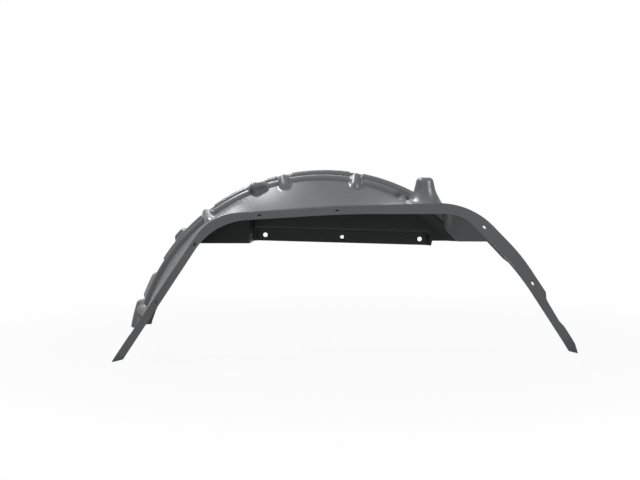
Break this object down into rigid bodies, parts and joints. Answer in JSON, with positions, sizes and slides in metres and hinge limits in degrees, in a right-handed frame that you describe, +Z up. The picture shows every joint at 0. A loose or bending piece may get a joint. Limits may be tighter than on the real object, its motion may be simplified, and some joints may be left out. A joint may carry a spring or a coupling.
{
  "type": "splash shield",
  "caption": "Moulded plastic wheel-arch liner: flat outer flange with fastener slots, stepped dome over the tyre, conical boss and a pressed inner mounting pad.",
  "frame": {"origin": "middle of the row of holes, on the inboard face of the pressed pad", "axes": "+X along the car towards the leg with the step, +Y inboard along the wheel axis, +Z up; the wheel axis is at X -47.6 mm, Z -264.2 mm"},
  "size_m": [0.9871, 0.252, 0.4047],
  "materials": {
    "black_plastic": "satin moulded"
  },
  "bodies": {
    "root": {"splash_shield": "black_plastic"}
  },
  "joints": []
}
